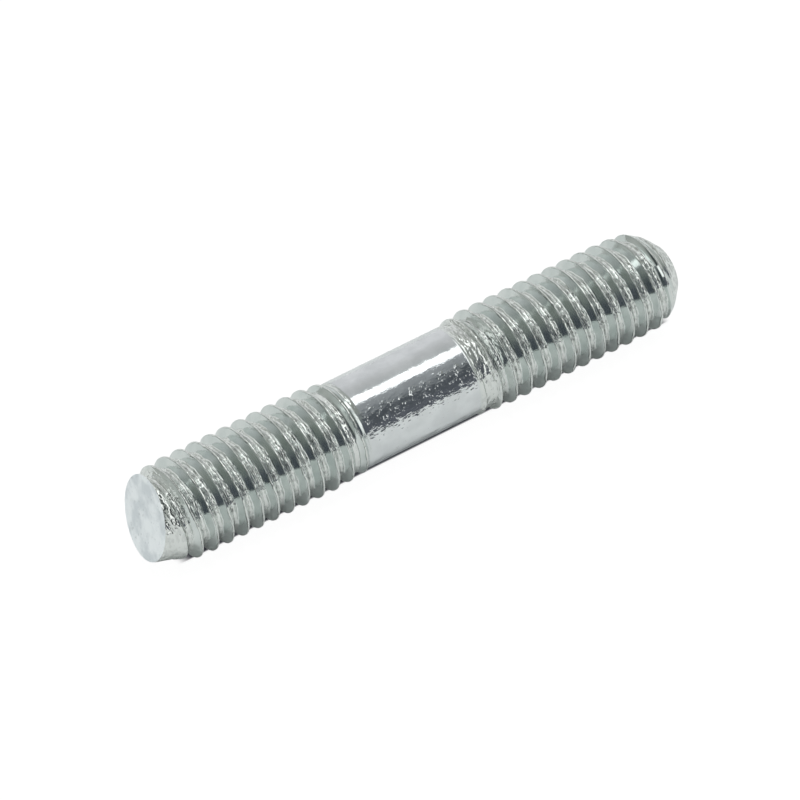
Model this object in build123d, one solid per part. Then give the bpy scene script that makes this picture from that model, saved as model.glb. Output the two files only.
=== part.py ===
from build123d import *
import os
from math import atan, ceil, cos, degrees

# Double ended stud: one rolled steel rod with a right-hand thread at each end and a plain
# shank between them. The axis is Z, the lower end face is at Z = 0, and the ridge of both
# threads crosses the +X side half a pitch above the lower face, and every pitch above that.
# Crest and root are plain edges, at the full depth of the thread.

# ---- driving dimensions, in mm and degrees ----
stud_length = 35.0  # along the axis, from the lower end face to the upper one
pitch = 1.0
major_radius = 3.0  # crest of the thread
shank_step = 0.30  # of the plain middle below the crests, about half a thread deep

lower_thread_length = 14.5  # from the lower end face to where the ridge dies out
upper_thread_length = 13.5  # from the upper end face to where the ridge dies out
run_out_turns = 1.5  # turns over which the ridge sinks to its last height
fade_turns = 0.5  # turns over which it then dies into the shank
last_ridge_height = 0.17  # of the sunk ridge above the shank
groove_run_out = 1.5  # length over which the groove's floor climbs to the shank

lead_in_length = 4.0  # end of the thread over which the crest is slightly low
lead_in_drop = 0.14  # how low the crest is at the end face

lower_face_radius = 2.10  # flat end that the stud stands on
lower_bevel_slope = 0.52  # growth of the bevel's radius with height
upper_face_radius = 2.41  # middle of the beveled end, on the axis length
upper_bevel_slope = 0.43
upper_face_lean = 15.0  # the upper end was sheared off at a slant
upper_face_high_side = 155.0  # direction of its highest point, from +X towards +Y

# ---- derived sizes ----
SUNK = 0.15  # how deep a ridge's foot is set into the core, so that the two fuse
PROUD = 0.5  # how far cutting shapes stand outside the stud
LONGEST_PIECE = 0.9  # turns of ridge made in one piece

thread_depth = 0.6134 * pitch  # from crest to root of a metric thread
root_radius = major_radius - thread_depth
shank_radius = major_radius - shank_step
core_radius = root_radius - SUNK / 2
foot_radius = core_radius - SUNK
low_crest_radius = shank_radius + last_ridge_height
buried_crest_radius = shank_radius - SUNK / 4
lower_thread_end = lower_thread_length
upper_thread_end = stud_length - upper_thread_length


def start_angle(middle):
    """Angle about the axis at which the ridge's middle line is at this height."""
    return 360 * (middle / pitch - 0.5)


def helix_edge(start, end):
    """One helical edge from start to end, each a pair of height and radius, plus the height of
    the ridge's middle line, which sets the angle."""
    (z0, r0, middle0), (z1, r1, middle1) = start, end
    turns = (middle1 - middle0) / pitch
    cone = atan((r1 - r0) / (z1 - z0))
    edge = Helix((z1 - z0) / turns / cos(cone), z1 - z0, r0, cone_angle=degrees(cone))
    return Pos(0, 0, z0) * Rot(0, 0, start_angle(middle0)) * edge


def ridge_corners(middle, crest_radius):
    """The three corners of the ridge's section, as height, radius and middle line. Its flanks
    meet those of the turns beside it at the root radius, and go on down to the foot."""
    spread = 0.5 * pitch / (crest_radius - root_radius)
    foot = spread * (crest_radius - foot_radius)
    return [
        (middle - foot, foot_radius, middle),
        (middle, crest_radius, middle),
        (middle + foot, foot_radius, middle),
    ]


def ridge_end(corners):
    """The flat cap of a ridge, at the angle of its section."""
    outline = Wire.make_polygon([(radius, 0, height) for height, radius, _ in corners])
    return Rot(0, 0, start_angle(corners[0][2])) * Face(outline)


def ridge_piece(below, above):
    """A stretch of ridge between two stations, each a middle height and a crest radius."""
    lower_corners = ridge_corners(*below)
    upper_corners = ridge_corners(*above)
    edges = [helix_edge(start, end) for start, end in zip(lower_corners, upper_corners)]
    faces = [ridge_end(lower_corners), ridge_end(upper_corners)]
    for edge, following in zip(edges, edges[1:] + edges[:1]):
        faces.append(Face.make_surface_from_curves(edge, following))
    return Solid(Shell(faces))


def thread_ridge(stations):
    """A helical ridge through the stations. Its feet overlap from one turn to the next, so it
    is made of pieces shorter than a turn, which are fused later."""
    pieces = []
    for (middle0, crest0), (middle1, crest1) in zip(stations, stations[1:]):
        count = ceil((middle1 - middle0) / pitch / LONGEST_PIECE)
        middles = [middle0 + (middle1 - middle0) * step / count for step in range(count + 1)]
        crests = [crest0 + (crest1 - crest0) * step / count for step in range(count + 1)]
        marks = list(zip(middles, crests))
        pieces += [ridge_piece(below, above) for below, above in zip(marks, marks[1:])]
    return pieces


def lower_ridge():
    fade = lower_thread_end - fade_turns * pitch
    sinking = fade - run_out_turns * pitch
    below_face = -pitch
    drop_below_face = lead_in_drop * (1 + pitch / lead_in_length)
    return thread_ridge([
        (below_face, major_radius - drop_below_face),
        (lead_in_length, major_radius),
        (sinking, major_radius),
        (fade, low_crest_radius),
        (lower_thread_end, buried_crest_radius),
    ])


def upper_ridge():
    fade = upper_thread_end + fade_turns * pitch
    sinking = fade + run_out_turns * pitch
    above_face = stud_length + 2 * pitch
    drop_above_face = lead_in_drop * (1 + 2 * pitch / lead_in_length)
    return thread_ridge([
        (upper_thread_end, buried_crest_radius),
        (fade, low_crest_radius),
        (sinking, major_radius),
        (stud_length - lead_in_length, major_radius),
        (above_face, major_radius - drop_above_face),
    ])


def core():
    """The rod under the ridges: just below the grooves, with a cone at each run-out, and the shank."""
    top = stud_length + 2 * pitch
    profile = Polyline(
        (0, -PROUD),
        (core_radius, -PROUD),
        (core_radius, lower_thread_end - groove_run_out),
        (shank_radius, lower_thread_end),
        (shank_radius, upper_thread_end),
        (core_radius, upper_thread_end + groove_run_out),
        (core_radius, top),
        (0, top),
        close=True,
    )
    return revolve(Plane.XZ * make_face(profile), axis=Axis.Z)


def trimmed_ends():
    """The space between the two end faces and inside their bevels."""
    outside = major_radius + PROUD
    lower_bevel = (outside - lower_face_radius) / lower_bevel_slope
    upper_bevel = (outside - upper_face_radius) / upper_bevel_slope
    above = 2 * pitch
    profile = Polyline(
        (0, 0),
        (lower_face_radius, 0),
        (outside, lower_bevel),
        (outside, stud_length - upper_bevel),
        (upper_face_radius - above * upper_bevel_slope, stud_length + above),
        (0, stud_length + above),
        close=True,
    )
    space = revolve(Plane.XZ * make_face(profile), axis=Axis.Z)
    lean = Rot(0, 0, upper_face_high_side) * Rot(0, -upper_face_lean, 0)
    upper_face = Plane(Pos(0, 0, stud_length) * lean)
    return split(space, bisect_by=upper_face, keep=Keep.BOTTOM)


def stud():
    rod = core() + (lower_ridge() + upper_ridge())
    return rod & trimmed_ends()


os.makedirs("parts", exist_ok=True)
part = stud()
export_step(part, "parts/stud.step")
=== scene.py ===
"""A zinc plated double ended stud, seen along its length over a white table.

Lengths are in metres in the part's own frame: the axis is Z, the square-cut end face is at
Z = 0 and the slanted end is on top. The table runs along the stud, beside it.
"""

import math

import bmesh
import bpy
import numpy as np
from mathutils import Matrix, Vector


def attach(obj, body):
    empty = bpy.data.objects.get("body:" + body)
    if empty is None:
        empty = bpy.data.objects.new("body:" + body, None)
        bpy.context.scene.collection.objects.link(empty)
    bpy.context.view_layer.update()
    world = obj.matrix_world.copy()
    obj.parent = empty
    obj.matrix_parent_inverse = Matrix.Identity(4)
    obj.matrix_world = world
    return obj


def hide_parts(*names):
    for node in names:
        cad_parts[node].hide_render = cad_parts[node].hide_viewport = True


MM = 0.001

# ---- the stud, in metres ----
LENGTH = 35 * MM
PITCH = 1 * MM
CREST_RADIUS = 3 * MM
CREST_FLAT = 0.05 * MM
CREST_ROUNDING = 0.05 * MM
FLANK_ANGLE = math.radians(30)  # of each side of a ridge, from straight out
FLANK = math.tan(FLANK_ANGLE)
ROOT_ROUNDING = 0.15 * MM  # radius of the groove's rounded bottom
SOFTENING = 0.03 * MM  # of the corners where ridges sink and where bevels cut them
SHANK_MIDDLE = 18 * MM  # a height between the two threads

# height of the ridge's middle and its crest radius in mm, along the lower and the upper thread
LOWER_CREST = ((-1.0, 2.825), (4.0, 3.0), (12.5, 3.0), (13.5, 2.88), (14.0, 2.82), (14.5, 2.66))
UPPER_CREST = (
    (21.5, 2.66), (22.0, 2.83), (22.5, 2.86), (23.6, 3.0),
    (32.5, 3.0), (33.6, 2.92), (34.4, 2.78), (38.0, 2.66),
)
# height and radius in mm of the climb from the grooves to the shank
FLOOR = (
    (-1.0, 2.35), (12.2, 2.35), (13.3, 2.66), (14.3, 2.70),
    (21.84, 2.70), (22.3, 2.64), (23.4, 2.35), (38.0, 2.35),
)

LOWER_FACE_RADIUS = 1.50 * MM
LOWER_POINT = 1.15  # slope of the short cone beside the lower face
LOWER_WAIST = 1.98 * MM  # radius where the longer bevel's line would meet the lower face
LOWER_BEVEL = 0.55
WAIST_SOFTENING = 0.1 * MM  # where the short cone meets the longer bevel
UPPER_FACE_RADIUS = 2.37 * MM
UPPER_BEVEL = 0.39
UPPER_OFF_CENTRE = 0.08 * MM  # of the upper bevel, towards +X, and again below the face
OFF_CENTRE_GROWTH = 0.3 * MM  # above and below the face's middle height, where it doubles
LEAN = math.tan(math.radians(14.5))  # of the upper face
HIGH_SIDE = math.radians(149)  # direction of the upper face's highest point, from +X
RIM_STEPS = 12  # in closing in on the upper face's rim

COLUMNS = 120
# where the rows of points run along half a thread, from the crest's middle to the groove's
HALF_THREAD_ROWS = (0.025, 0.045, 0.068, 0.085, 0.21, 0.325, 0.36, 0.41, 0.455)
FACE_RINGS = (0.96, 0.8, 0.6, 0.4, 0.2)  # shares of an end face's radius
MERGE_WITHIN = 1e-7
SHARP_OVER = math.radians(35)

# ---- the plating: where a finish fades in, and where it fades out again ----
UPPER_END_TORN = (33.2 * MM, 33.9 * MM)
LOWER_END_TORN = (1.1 * MM, 0.7 * MM)
RUN_OUT_TORN = (12.6 * MM, 13.2 * MM), (14.6 * MM, 14.3 * MM)
SHANK_SMOOTH = (14.2 * MM, 14.5 * MM), (22.1 * MM, 21.6 * MM)
FLANKS_PRESSED = (0.12, 0.16), (0.87, 0.82)  # in turns, with the crest at 0.5
CREST_TORN = (0.04, 0.08)  # turns from the crest's middle to where it is smooth again
SPLASHED_SIDE = (-1.34, -1.50)  # radians about the axis, where the shank's drops get high
DEEPEST_MARK = 0.04 * MM

# ---- the view ----
AXIS_TO_VIEW = math.radians(69)  # between the stud's axis and the line of sight
AXIS_ON_FILM = math.radians(206.31)  # direction of +Z in the view, anticlockwise from right
VIEW_DISTANCE = 0.390
FILM_WIDTH = 36
FOCAL_WIDTHS = 8.625  # focal length over the film's width
AIM = Vector((0, 0, 18.17 * MM))
AIM_OFF_CENTRE = (-0.0015, 0.0008)  # where the aim falls, in film widths right and up

# ---- the table ----
TABLE_AZIMUTH = math.radians(-44)  # of its upward normal
TABLE_HALF = 0.6
FAR_TABLE_PAINTED_SHADE = (-45 * MM, -70 * MM)  # painted shade: the table goes dark in the metal where it is far off to the side
# painted contact shadow on the table: where it fades in and out across and along the stud
PAINTED_SHADOW_ACROSS = (-1.06 * MM, -0.88 * MM), (0.6 * MM, 0)  # of the stud's contact, sideways, for the painted contact shadow
PAINTED_SHADOW_ALONG = (0.4 * MM, 1.2 * MM), (33.9 * MM, 32.9 * MM)

# ---- the lamp ----
LAMP_AZIMUTH = math.radians(-50)
LAMP_SINK = -0.15  # of its direction along the axis
LAMP_STRENGTH = 0.7
LAMP_WIDTH = math.radians(14)

# ---- the room: stops of degrees round the axis and colour ----
ROOM_BESIDE = (
    (-180, (0.62, 0.64, 0.65)),
    (-140, (0.62, 0.65, 0.66)),
    (-134, (0.12, 0.13, 0.15)),
    (-110, (0.08, 0.09, 0.10)),
    (-97, (0.08, 0.09, 0.10)),
    (-75, (0.28, 0.30, 0.31)),
    (-58, (0.34, 0.36, 0.37)),
    (-55, (1.60, 1.65, 1.65)),
    (-37, (1.75, 1.80, 1.78)),
    (-34, (0.50, 0.52, 0.52)),
    (-15, (0.56, 0.57, 0.57)),
    (10, (0.72, 0.73, 0.74)),
    (50, (0.72, 0.73, 0.74)),
    (180, (0.62, 0.64, 0.65)),
)
ROOM_BELOW = (
    (-180, (0.60, 0.64, 0.65)),
    (-138, (0.60, 0.64, 0.65)),
    (-134, (0.10, 0.11, 0.13)),
    (-108, (0.11, 0.12, 0.14)),
    (-80, (0.24, 0.26, 0.25)),
    (-55, (0.30, 0.32, 0.30)),
    (-20, (0.38, 0.40, 0.38)),
    (50, (0.56, 0.58, 0.57)),
    (180, (0.60, 0.64, 0.65)),
)
ROOM_LEVEL = (
    (-180, (0.70, 0.72, 0.72)),
    (-140, (0.75, 0.77, 0.77)),
    (-120, (1.15, 1.18, 1.16)),
    (-45, (1.25, 1.28, 1.26)),
    (-15, (0.80, 0.82, 0.81)),
    (180, (0.70, 0.72, 0.72)),
)
ROOM_ABOVE = (
    (-180, (0.36, 0.38, 0.37)),
    (-150, (0.30, 0.32, 0.31)),
    (-130, (0.06, 0.07, 0.07)),
    (-50, (0.06, 0.07, 0.07)),
    (-20, (0.32, 0.34, 0.32)),
    (20, (0.44, 0.46, 0.44)),
    (180, (0.36, 0.38, 0.37)),
)
OVERHEAD = (0.45, 0.48, 0.46, 1)
# how far a direction rises along the axis where each of these takes over, first and fully
BELOW_FROM, LEVEL_FROM, ABOVE_FROM = (-0.42, -0.50), (-0.24, -0.12), (0.15, 0.35)
OVERHEAD_FROM = (0.65, 0.85)


# ------------------------------------------------------------------ shapes
def smooth_low(a, b, width):
    """The lower of a and b, with the corner rounded over the width."""
    return 0.5 * (a + b - np.sqrt((a - b) ** 2 + width**2))


def smooth_high(a, b, width):
    """The higher of a and b, with the corner rounded over the width."""
    return -smooth_low(-a, -b, width)


def along(stations, height):
    """The value between stations of height and value in mm, at heights in metres."""
    heights, values = np.array(stations).T * MM
    return np.interp(height, heights, values)


def thread_radius(angle, height, crest):
    """A helical ridge and groove by the distance from the ridge's middle line: a flat crest
    with a rounded edge, then the flank's slope, then a round arc inside the groove. The height
    above the groove is scaled to the crest radius of that turn."""
    start = PITCH * (angle / (2 * math.pi) + 0.5)
    middle = start + np.round((height - start) / PITCH) * PITCH
    off = np.abs(height - middle)
    across = CREST_ROUNDING * math.cos(FLANK_ANGLE)
    beyond = off - CREST_FLAT / 2
    crown = np.sqrt(CREST_ROUNDING**2 - np.clip(beyond, 0, across) ** 2) - CREST_ROUNDING
    flank = CREST_RADIUS + crown - np.maximum(beyond - across, 0) / FLANK
    apex = CREST_RADIUS - CREST_ROUNDING / 2 - (PITCH / 2 - CREST_FLAT / 2 - across) / FLANK
    from_groove = np.minimum(PITCH / 2 - off, 0.999 * ROOT_ROUNDING)
    arc = apex + 2 * ROOT_ROUNDING - np.sqrt(ROOT_ROUNDING**2 - from_groove**2)
    profile = np.where(from_groove < ROOT_ROUNDING * math.cos(FLANK_ANGLE), arc, flank)
    root = apex + ROOT_ROUNDING
    return root + (profile - root) * (along(crest, middle) - root) / (CREST_RADIUS - root)


def body_radius(angle, height):
    """The higher of the thread on that half and of the climb to the shank."""
    lower = thread_radius(angle, height, LOWER_CREST)
    upper = thread_radius(angle, height, UPPER_CREST)
    thread = np.where(height < SHANK_MIDDLE, lower, upper)
    return smooth_high(thread, along(FLOOR, height), SOFTENING)


def trimmed_radius(angle, height):
    """The lower of the threaded body and the bevels of the two ends."""
    point = LOWER_FACE_RADIUS + LOWER_POINT * height
    lower = smooth_low(point, LOWER_WAIST + LOWER_BEVEL * height, WAIST_SOFTENING)
    upper = upper_bevel_radius(angle, height)
    radius = smooth_low(body_radius(angle, height), lower, SOFTENING)
    return smooth_low(radius, upper, SOFTENING)


def upper_bevel_radius(angle, height):
    """A cone a little off centre, twice as much from a little under the upper face down."""
    deeper = np.clip((LENGTH - height) / OFF_CENTRE_GROWTH + 1, 0, 2) / 2
    off_centre = UPPER_OFF_CENTRE * (1 + deeper) * np.cos(angle)
    return UPPER_FACE_RADIUS + off_centre + UPPER_BEVEL * (LENGTH - height)


def upper_rim(angle):
    """Height and radius where the upper bevel meets the leaning end face, closed in on."""
    lean = LEAN * np.cos(angle - HIGH_SIDE)
    radius = UPPER_FACE_RADIUS + 0 * angle
    for _ in range(RIM_STEPS):
        radius = upper_bevel_radius(angle, LENGTH + lean * radius)
    return LENGTH + lean * radius, radius


def spiral_rows():
    """Angle, radius and height of rows that climb one pitch a turn, in step with the thread.
    What would lie past an end is gathered on that end's rim."""
    half = np.array(HALF_THREAD_ROWS)
    phases = np.concatenate([[-0.5], -half[::-1], half])
    turns = np.arange(-1, round(LENGTH / PITCH) + 3)
    start = PITCH * (turns[:, None] + 0.5 + phases).reshape(-1, 1)
    angle = np.linspace(0, 2 * math.pi, COLUMNS, endpoint=False)[None, :]
    rim_height, rim_radius = upper_rim(angle)
    height = np.clip(start + PITCH * angle / (2 * math.pi), 0, rim_height)
    angle = angle + 0 * height
    radius = trimmed_radius(angle, height)
    radius = np.where(height <= 0, LOWER_FACE_RADIUS, radius)
    radius = np.where(height >= rim_height, rim_radius, radius)
    return angle, radius, height, len(phases)


def face_rings(radius, height):
    """Rings of an end face, at shares of its rim's radius and of its rise above the middle."""
    middle = height.mean()
    return [(share * radius, middle + share * (height - middle)) for share in FACE_RINGS]


def rolled_stud():
    """A closed skin: spiral rows joined all the way round, each to the row one pitch above it
    at the seam, and rings and a fan of triangles over each end face."""
    angle, radius, height, rows_per_turn = spiral_rows()
    rows, rings = len(radius), len(FACE_RINGS)
    caps = face_rings(radius[0], height[0]) + face_rings(radius[-1], height[-1])
    cap_radius, cap_height = (np.array(part) for part in zip(*caps))
    radius = np.concatenate([radius, cap_radius])
    height = np.concatenate([height, cap_height])
    angle = angle[0] + 0 * radius
    points = np.stack([radius * np.cos(angle), radius * np.sin(angle), height], axis=-1)
    points = np.concatenate([points.reshape(-1, 3), [(0, 0, 0), (0, 0, LENGTH)]])
    index = np.arange(radius.size).reshape(radius.shape)

    wall = index[:rows]
    onward = np.roll(wall, -1, axis=1)
    onward[:-rows_per_turn, -1] = wall[rows_per_turn:, 0]
    lower = np.concatenate([index[rows:rows + rings][::-1], index[:1]])
    upper = np.concatenate([index[rows - 1:rows], index[rows + rings:]])
    faces = ring_quads(wall, onward)[: -rows_per_turn].reshape(-1, 4).tolist()
    for cap in (lower, upper):
        faces += ring_quads(cap, np.roll(cap, -1, axis=1)).reshape(-1, 4).tolist()
    faces += fan(np.roll(lower[0], -1), lower[0], len(points) - 2)
    faces += fan(upper[-1], np.roll(upper[-1], -1), len(points) - 1)
    return welded_piece("rolled_stud", points.tolist(), faces)


def ring_quads(rings, onward):
    """Quads between each ring and the next one up, onward being the neighbours of its points."""
    return np.stack([rings[:-1], onward[:-1], onward[1:], rings[1:]], axis=-1)


def fan(first, second, tip):
    """Triangles from each edge, given by its first and second points, to the tip."""
    return np.stack([first, second, np.full_like(first, tip)], axis=-1).tolist()


def welded_piece(name, points, faces):
    """A mesh with its gathered points merged, smooth but for its sharper edges."""
    mesh = bpy.data.meshes.new(name)
    mesh.from_pydata(points, [], faces)
    work = bmesh.new()
    work.from_mesh(mesh)
    bmesh.ops.remove_doubles(work, verts=work.verts, dist=MERGE_WITHIN)
    work.to_mesh(mesh)
    work.free()
    mesh.polygons.foreach_set("use_smooth", np.ones(len(mesh.polygons), dtype=bool))
    mesh.set_sharp_from_angle(angle=SHARP_OVER)
    mesh.update()
    piece = bpy.data.objects.new(name, mesh)
    bpy.context.collection.objects.link(piece)
    return piece


# ------------------------------------------------------------------ materials
class Nodes:
    """Short calls that add and join shader nodes."""

    def __init__(self, tree):
        self.tree = tree
        tree.nodes.clear()

    def add(self, kind, inputs=None, **settings):
        node = self.tree.nodes.new(kind)
        for key, value in settings.items():
            setattr(node, key, value)
        for key, value in (inputs or {}).items():
            if isinstance(value, bpy.types.NodeSocket):
                self.tree.links.new(value, node.inputs[key])
            else:
                node.inputs[key].default_value = value
        return node

    def maths(self, operation, *values, clamp=False):
        inputs = dict(enumerate(values))
        return self.add("ShaderNodeMath", inputs, operation=operation, use_clamp=clamp).outputs[0]

    def fade(self, value, low, high):
        """0 below low, 1 above high and smooth between."""
        inputs = {"Value": value, "From Min": low, "From Max": high}
        node = self.add("ShaderNodeMapRange", inputs, interpolation_type="SMOOTHSTEP")
        return node.outputs["Result"]

    def within(self, value, rise, fall):
        """1 between a rising and a falling fade and 0 outside them."""
        return self.maths("MULTIPLY", self.fade(value, *rise), self.fade(value, *fall))

    def noise(self, place, scale, detail):
        inputs = {"Vector": place, "Scale": scale, "Detail": detail}
        return self.add("ShaderNodeTexNoise", inputs)

    def mix(self, share, first, second):
        node = self.add("ShaderNodeMix", data_type="RGBA")
        for index, value in ((0, share), (6, first), (7, second)):
            if isinstance(value, bpy.types.NodeSocket):
                self.tree.links.new(value, node.inputs[index])
            else:
                node.inputs[index].default_value = value
        return node.outputs[2]


def zinc_plating():
    """Bright zinc: smooth on the flanks that face up, torn and finely pitted from the crests
    down the other flanks into the roots, and sparsely spotted on the shank."""
    material = bpy.data.materials.new("zinc_plating")
    material.use_nodes = True
    nodes = Nodes(material.node_tree)
    where = nodes.add("ShaderNodeTexCoord")
    place = where.outputs["Object"]
    x, y, z = nodes.add("ShaderNodeSeparateXYZ", {0: place}).outputs
    angle = nodes.maths("ARCTAN2", y, x)
    clouds = nodes.noise(place, 900.0, 4.0).outputs[0]
    grain = nodes.noise(place, 16000.0, 2.0).outputs[0]
    upright = nodes.add("ShaderNodeSeparateXYZ", {0: where.outputs["Normal"]}).outputs[2]
    face = nodes.fade(nodes.maths("ABSOLUTE", upright), 0.90, 0.94)
    by_lower_face = nodes.fade(z, *LOWER_END_TORN)
    shank = nodes.within(z, *SHANK_SMOOTH)

    # the thread's turns, from 0 to 1 with the crest at 0.5, and where their plating is torn
    turn = nodes.maths("MULTIPLY", angle, -0.5 / math.pi)
    turn = nodes.maths("FRACT", nodes.maths("MULTIPLY_ADD", z, 1 / PITCH, turn))
    turn = nodes.maths("MULTIPLY_ADD", nodes.maths("SUBTRACT", clouds, 0.5), 0.2, turn)
    from_crest = nodes.maths("ABSOLUTE", nodes.maths("SUBTRACT", turn, 0.5))
    pressed = nodes.within(turn, *FLANKS_PRESSED)
    pressed = nodes.maths("MULTIPLY", pressed, nodes.fade(from_crest, *CREST_TORN))
    torn = nodes.maths("SUBTRACT", 1.0, pressed)
    by_upper_face = nodes.fade(z, *UPPER_END_TORN)
    for ragged in (nodes.within(z, *RUN_OUT_TORN), by_upper_face, by_lower_face):
        torn = nodes.maths("MAXIMUM", torn, ragged)
    wall = nodes.maths("SUBTRACT", 1.0, face)
    torn = nodes.maths("MULTIPLY", nodes.maths("SUBTRACT", torn, shank, clamp=True), wall)

    # dimples drawn out round the axis, and drops drawn out along it
    across = nodes.maths("ADD", nodes.maths("POWER", x, 2.0), nodes.maths("POWER", y, 2.0))
    around = nodes.maths("MULTIPLY", angle, 0.4 * CREST_RADIUS)
    drawn = {"X": around, "Y": nodes.maths("SQRT", across), "Z": z}
    drawn = nodes.add("ShaderNodeCombineXYZ", drawn).outputs[0]
    dimples = nodes.noise(drawn, 4600.0, 1.5).outputs[0]
    lengthwise = {0: place, 1: (1.0, 1.0, 0.55)}
    lengthwise = nodes.add("ShaderNodeVectorMath", lengthwise, operation="MULTIPLY").outputs[0]
    drops = nodes.noise(lengthwise, 4200.0, 2.0).outputs[0]

    # pimples on some of the cells of a net whose lines wander
    wander = nodes.noise(place, 7000.0, 1.0).outputs["Color"]
    wander = {0: wander, 1: (0.14 * MM, 0.14 * MM, 0.14 * MM), 2: place}
    wander = nodes.add("ShaderNodeVectorMath", wander, operation="MULTIPLY_ADD").outputs[0]
    cells = nodes.add("ShaderNodeTexVoronoi", {"Vector": wander, "Scale": 5200.0})
    chosen = nodes.add("ShaderNodeSeparateXYZ", {0: cells.outputs["Color"]}).outputs[0]
    pimple = nodes.fade(cells.outputs["Distance"], 0.42, 0.10)
    pimple = nodes.maths("MULTIPLY", pimple, nodes.fade(chosen, 0.35, 0.7))

    # colour
    tone = nodes.fade(clouds, 0.35, 0.65)
    colour = nodes.mix(tone, (0.65, 0.695, 0.68, 1), (0.74, 0.775, 0.76, 1))
    smooth = nodes.mix(tone, (0.74, 0.76, 0.77, 1), (0.82, 0.84, 0.85, 1))
    colour = nodes.mix(shank, colour, smooth)
    colour = nodes.mix(torn, colour, (0.82, 0.84, 0.82, 1))
    speck = nodes.maths("MULTIPLY", nodes.fade(dimples, 0.50, 0.42), torn)
    strength = nodes.maths("MULTIPLY_ADD", by_lower_face, 0.25, 0.15)
    colour = nodes.mix(nodes.maths("MULTIPLY", speck, strength), colour, (0.16, 0.17, 0.17, 1))
    pale = nodes.mix(tone, (0.72, 0.76, 0.79, 1), (0.95, 0.98, 1.0, 1))
    pits = nodes.maths("MULTIPLY", nodes.fade(drops, 0.36, 0.30), 0.4)
    pale = nodes.mix(pits, pale, (0.45, 0.48, 0.50, 1))
    colour = nodes.mix(face, colour, pale)

    # polish and relief
    roughness = nodes.maths("MULTIPLY_ADD", clouds, 0.08, 0.05)
    roughness = nodes.maths("MULTIPLY_ADD", face, 0.25, roughness)
    drop = nodes.maths("MULTIPLY_ADD", pimple, 0.08, nodes.maths("POWER", drops, 4.0))
    splashed = nodes.maths("MULTIPLY_ADD", nodes.fade(angle, *SPLASHED_SIDE), 1.6, 0.3)
    splashed = nodes.maths("MULTIPLY", splashed, shank)
    height = nodes.maths("MULTIPLY", nodes.maths("MULTIPLY", dimples, 3.0), torn)
    height = nodes.maths("MULTIPLY_ADD", drop, splashed, height)
    height = nodes.maths("MULTIPLY_ADD", clouds, 0.4, height)
    height = nodes.maths("MULTIPLY_ADD", grain, 0.05, height)
    relief = {"Height": height, "Strength": 1.0, "Distance": DEEPEST_MARK}
    bump = nodes.add("ShaderNodeBump", relief)
    shader = nodes.add("ShaderNodeBsdfPrincipled", {
        "Base Color": colour,
        "Metallic": 1.0,
        "Roughness": roughness,
        "Normal": bump.outputs[0],
    })
    nodes.add("ShaderNodeOutputMaterial", {"Surface": shader.outputs[0]})
    return material


def table_white():
    """White table: plain to the eye but for a shadow under the stud, faintly cast by the lamp and
    painted into its glow; matt in the metal, with painted shade darkening it with distance; clear
    from behind."""
    material = bpy.data.materials.new("table_white")
    material.use_nodes = True
    nodes = Nodes(material.node_tree)
    place = nodes.add("ShaderNodeTexCoord").outputs["Object"]
    side = (-math.sin(TABLE_AZIMUTH), math.cos(TABLE_AZIMUTH), 0)
    beside = nodes.add("ShaderNodeVectorMath", {0: place, 1: side}, operation="DOT_PRODUCT")
    beside = beside.outputs["Value"]
    height = nodes.add("ShaderNodeSeparateXYZ", {0: place}).outputs[2]

    # painted shade: the matt table that the metal mirrors goes dark far off to the side
    painted_far_shade = nodes.fade(beside, *FAR_TABLE_PAINTED_SHADE)
    colour = nodes.mix(painted_far_shade, (0.95, 0.96, 0.96, 1), (0.10, 0.11, 0.12, 1))
    matt = nodes.add("ShaderNodeBsdfDiffuse", {"Color": colour}).outputs[0]
    plain = nodes.add("ShaderNodeBsdfDiffuse", {"Color": (0.88, 0.88, 0.88, 1)}).outputs[0]
    # painted shadow: the glow the eye sees turns near black in a strip beside and along the
    # stud's contact
    under = nodes.within(beside, *PAINTED_SHADOW_ACROSS)
    under = nodes.maths("MULTIPLY", under, nodes.within(height, *PAINTED_SHADOW_ALONG))
    light = nodes.mix(under, (1, 1, 1, 1), (0.03, 0.03, 0.04, 1))
    glow = nodes.add("ShaderNodeEmission", {"Color": light, "Strength": 1.12}).outputs[0]
    to_eye = nodes.add("ShaderNodeMixShader", {0: 0.85, 1: plain, 2: glow}).outputs[0]
    eye = nodes.add("ShaderNodeLightPath").outputs["Is Camera Ray"]
    seen = nodes.add("ShaderNodeMixShader", {0: eye, 1: matt, 2: to_eye}).outputs[0]
    clear = nodes.add("ShaderNodeBsdfTransparent").outputs[0]
    behind = nodes.add("ShaderNodeNewGeometry").outputs["Backfacing"]
    mixed = nodes.add("ShaderNodeMixShader", {0: behind, 1: seen, 2: clear})
    nodes.add("ShaderNodeOutputMaterial", {"Surface": mixed.outputs[0]})
    return material


# ------------------------------------------------------------------ setting
def table():
    """A plane that touches the crests along the whole stud, on the side away from the view."""
    normal = Vector((math.cos(TABLE_AZIMUTH), math.sin(TABLE_AZIMUTH), 0))
    level = Vector((0, 0, 1))
    side = normal.cross(level)
    middle = Vector((0, 0, LENGTH / 2)) - normal * CREST_RADIUS
    signs = ((-1, -1), (1, -1), (1, 1), (-1, 1))
    corners = [middle + TABLE_HALF * (a * side + b * level) for a, b in signs]
    mesh = bpy.data.meshes.new("table")
    mesh.from_pydata([tuple(c) for c in corners], [], [(0, 1, 2, 3)])
    mesh.update()
    if mesh.polygons[0].normal.dot(normal) < 0:
        mesh.flip_normals()
    mesh.materials.append(table_white())
    piece = bpy.data.objects.new("table", mesh)
    bpy.context.collection.objects.link(piece)


def band(nodes, turn, stops):
    """A colour by direction round the axis, from stops of degrees and colour."""
    node = nodes.add("ShaderNodeValToRGB", {0: turn})
    ramp = node.color_ramp
    while len(ramp.elements) < len(stops):
        ramp.elements.new(0.5)
    for element, (degrees, colour) in zip(ramp.elements, stops):
        element.position = degrees / 360 + 0.5
        element.color = (*colour, 1)
    return node.outputs[0]


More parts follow.
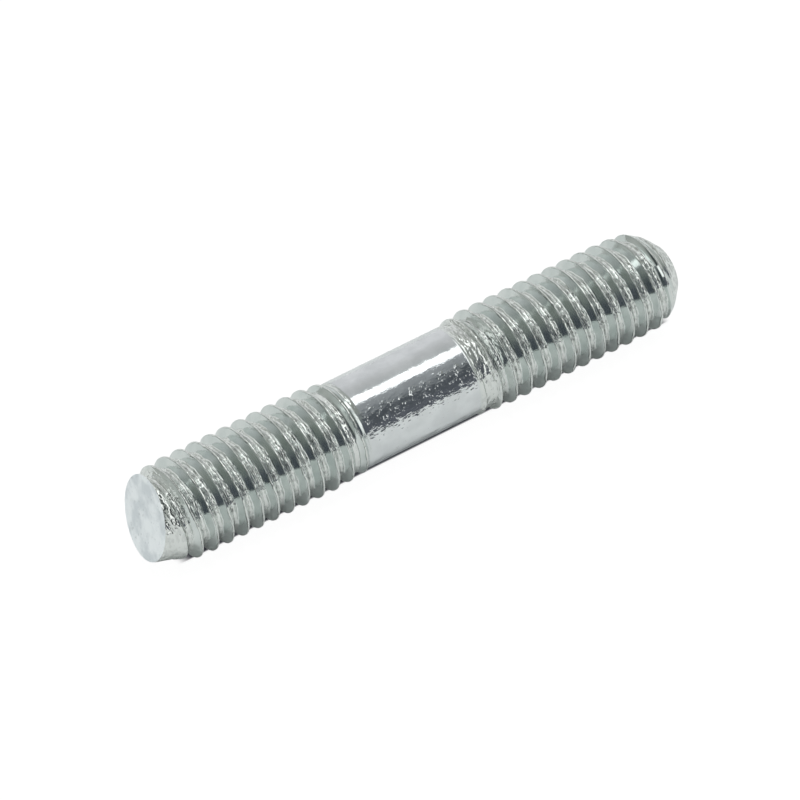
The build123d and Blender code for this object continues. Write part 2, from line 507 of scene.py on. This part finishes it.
def studio_light():
    """What the metal mirrors beside the table, by direction round the axis and along it: a
    dark viewer's side with a long lamp, and lighter or darker rings of the room below, level
    with, above and past the slanted end."""
    world = bpy.data.worlds.new("studio")
    bpy.context.scene.world = world
    world.use_nodes = True
    nodes = Nodes(world.node_tree)
    direction = nodes.add("ShaderNodeTexCoord").outputs["Generated"]
    x, y, rise = nodes.add("ShaderNodeSeparateXYZ", {0: direction}).outputs
    turn = nodes.maths("MULTIPLY_ADD", nodes.maths("ARCTAN2", y, x), 0.5 / math.pi, 0.5)
    colour = band(nodes, turn, ROOM_BESIDE)
    for start, ring in (
        (BELOW_FROM, band(nodes, turn, ROOM_BELOW)),
        (LEVEL_FROM, band(nodes, turn, ROOM_LEVEL)),
        (ABOVE_FROM, band(nodes, turn, ROOM_ABOVE)),
        (OVERHEAD_FROM, OVERHEAD),
    ):
        colour = nodes.mix(nodes.fade(rise, *start), colour, ring)
    seen = nodes.add("ShaderNodeLightPath").outputs["Is Camera Ray"]
    colour = nodes.mix(seen, colour, (1, 1, 1, 1))
    light = nodes.add("ShaderNodeBackground", {"Color": colour, "Strength": 1.0})
    nodes.add("ShaderNodeOutputWorld", {"Surface": light.outputs[0]})


def lamp():
    """The sun-like part of the long lamp, which draws the stud's shadow on the table."""
    data = bpy.data.lights.new("lamp", "SUN")
    data.energy = LAMP_STRENGTH
    data.angle = LAMP_WIDTH
    towards = Vector((math.cos(LAMP_AZIMUTH), math.sin(LAMP_AZIMUTH), LAMP_SINK))
    piece = bpy.data.objects.new("lamp", data)
    piece.visible_glossy = False
    piece.rotation_euler = towards.to_track_quat("Z", "Y").to_euler()
    bpy.context.collection.objects.link(piece)


def camera():
    """Turns the upright view from -Y about its line of sight until the axis lies as it should."""
    data = bpy.data.cameras.new("camera")
    data.sensor_width = FILM_WIDTH
    data.lens = FILM_WIDTH * FOCAL_WIDTHS
    data.clip_start = 0.01
    data.clip_end = 10
    towards = Vector((0, -math.sin(AXIS_TO_VIEW), math.cos(AXIS_TO_VIEW)))
    up = Vector((0, math.cos(AXIS_TO_VIEW), math.sin(AXIS_TO_VIEW)))
    right = Vector((1, 0, 0))
    roll = AXIS_ON_FILM - math.pi / 2
    film_right = math.cos(roll) * right - math.sin(roll) * up
    film_up = math.sin(roll) * right + math.cos(roll) * up
    width = VIEW_DISTANCE / FOCAL_WIDTHS
    off = AIM_OFF_CENTRE[0] * film_right + AIM_OFF_CENTRE[1] * film_up
    place = AIM + VIEW_DISTANCE * towards - width * off
    turned = Matrix((film_right, film_up, towards)).transposed().to_4x4()
    piece = bpy.data.objects.new("camera", data)
    piece.matrix_world = Matrix.Translation(place) @ turned
    bpy.context.collection.objects.link(piece)
    bpy.context.scene.camera = piece


# ------------------------------------------------------------------ the scene
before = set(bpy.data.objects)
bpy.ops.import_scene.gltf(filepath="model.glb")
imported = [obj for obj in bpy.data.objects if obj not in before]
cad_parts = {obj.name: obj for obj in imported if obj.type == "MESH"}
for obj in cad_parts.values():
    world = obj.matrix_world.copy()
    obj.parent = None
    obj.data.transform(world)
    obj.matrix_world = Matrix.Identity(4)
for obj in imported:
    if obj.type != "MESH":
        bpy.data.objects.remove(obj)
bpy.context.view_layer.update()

stud = rolled_stud()
stud.data.materials.append(zinc_plating())
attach(stud, "root")
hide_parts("stud")

table()
studio_light()
lamp()
camera()
bpy.context.scene.view_settings.view_transform = "Standard"
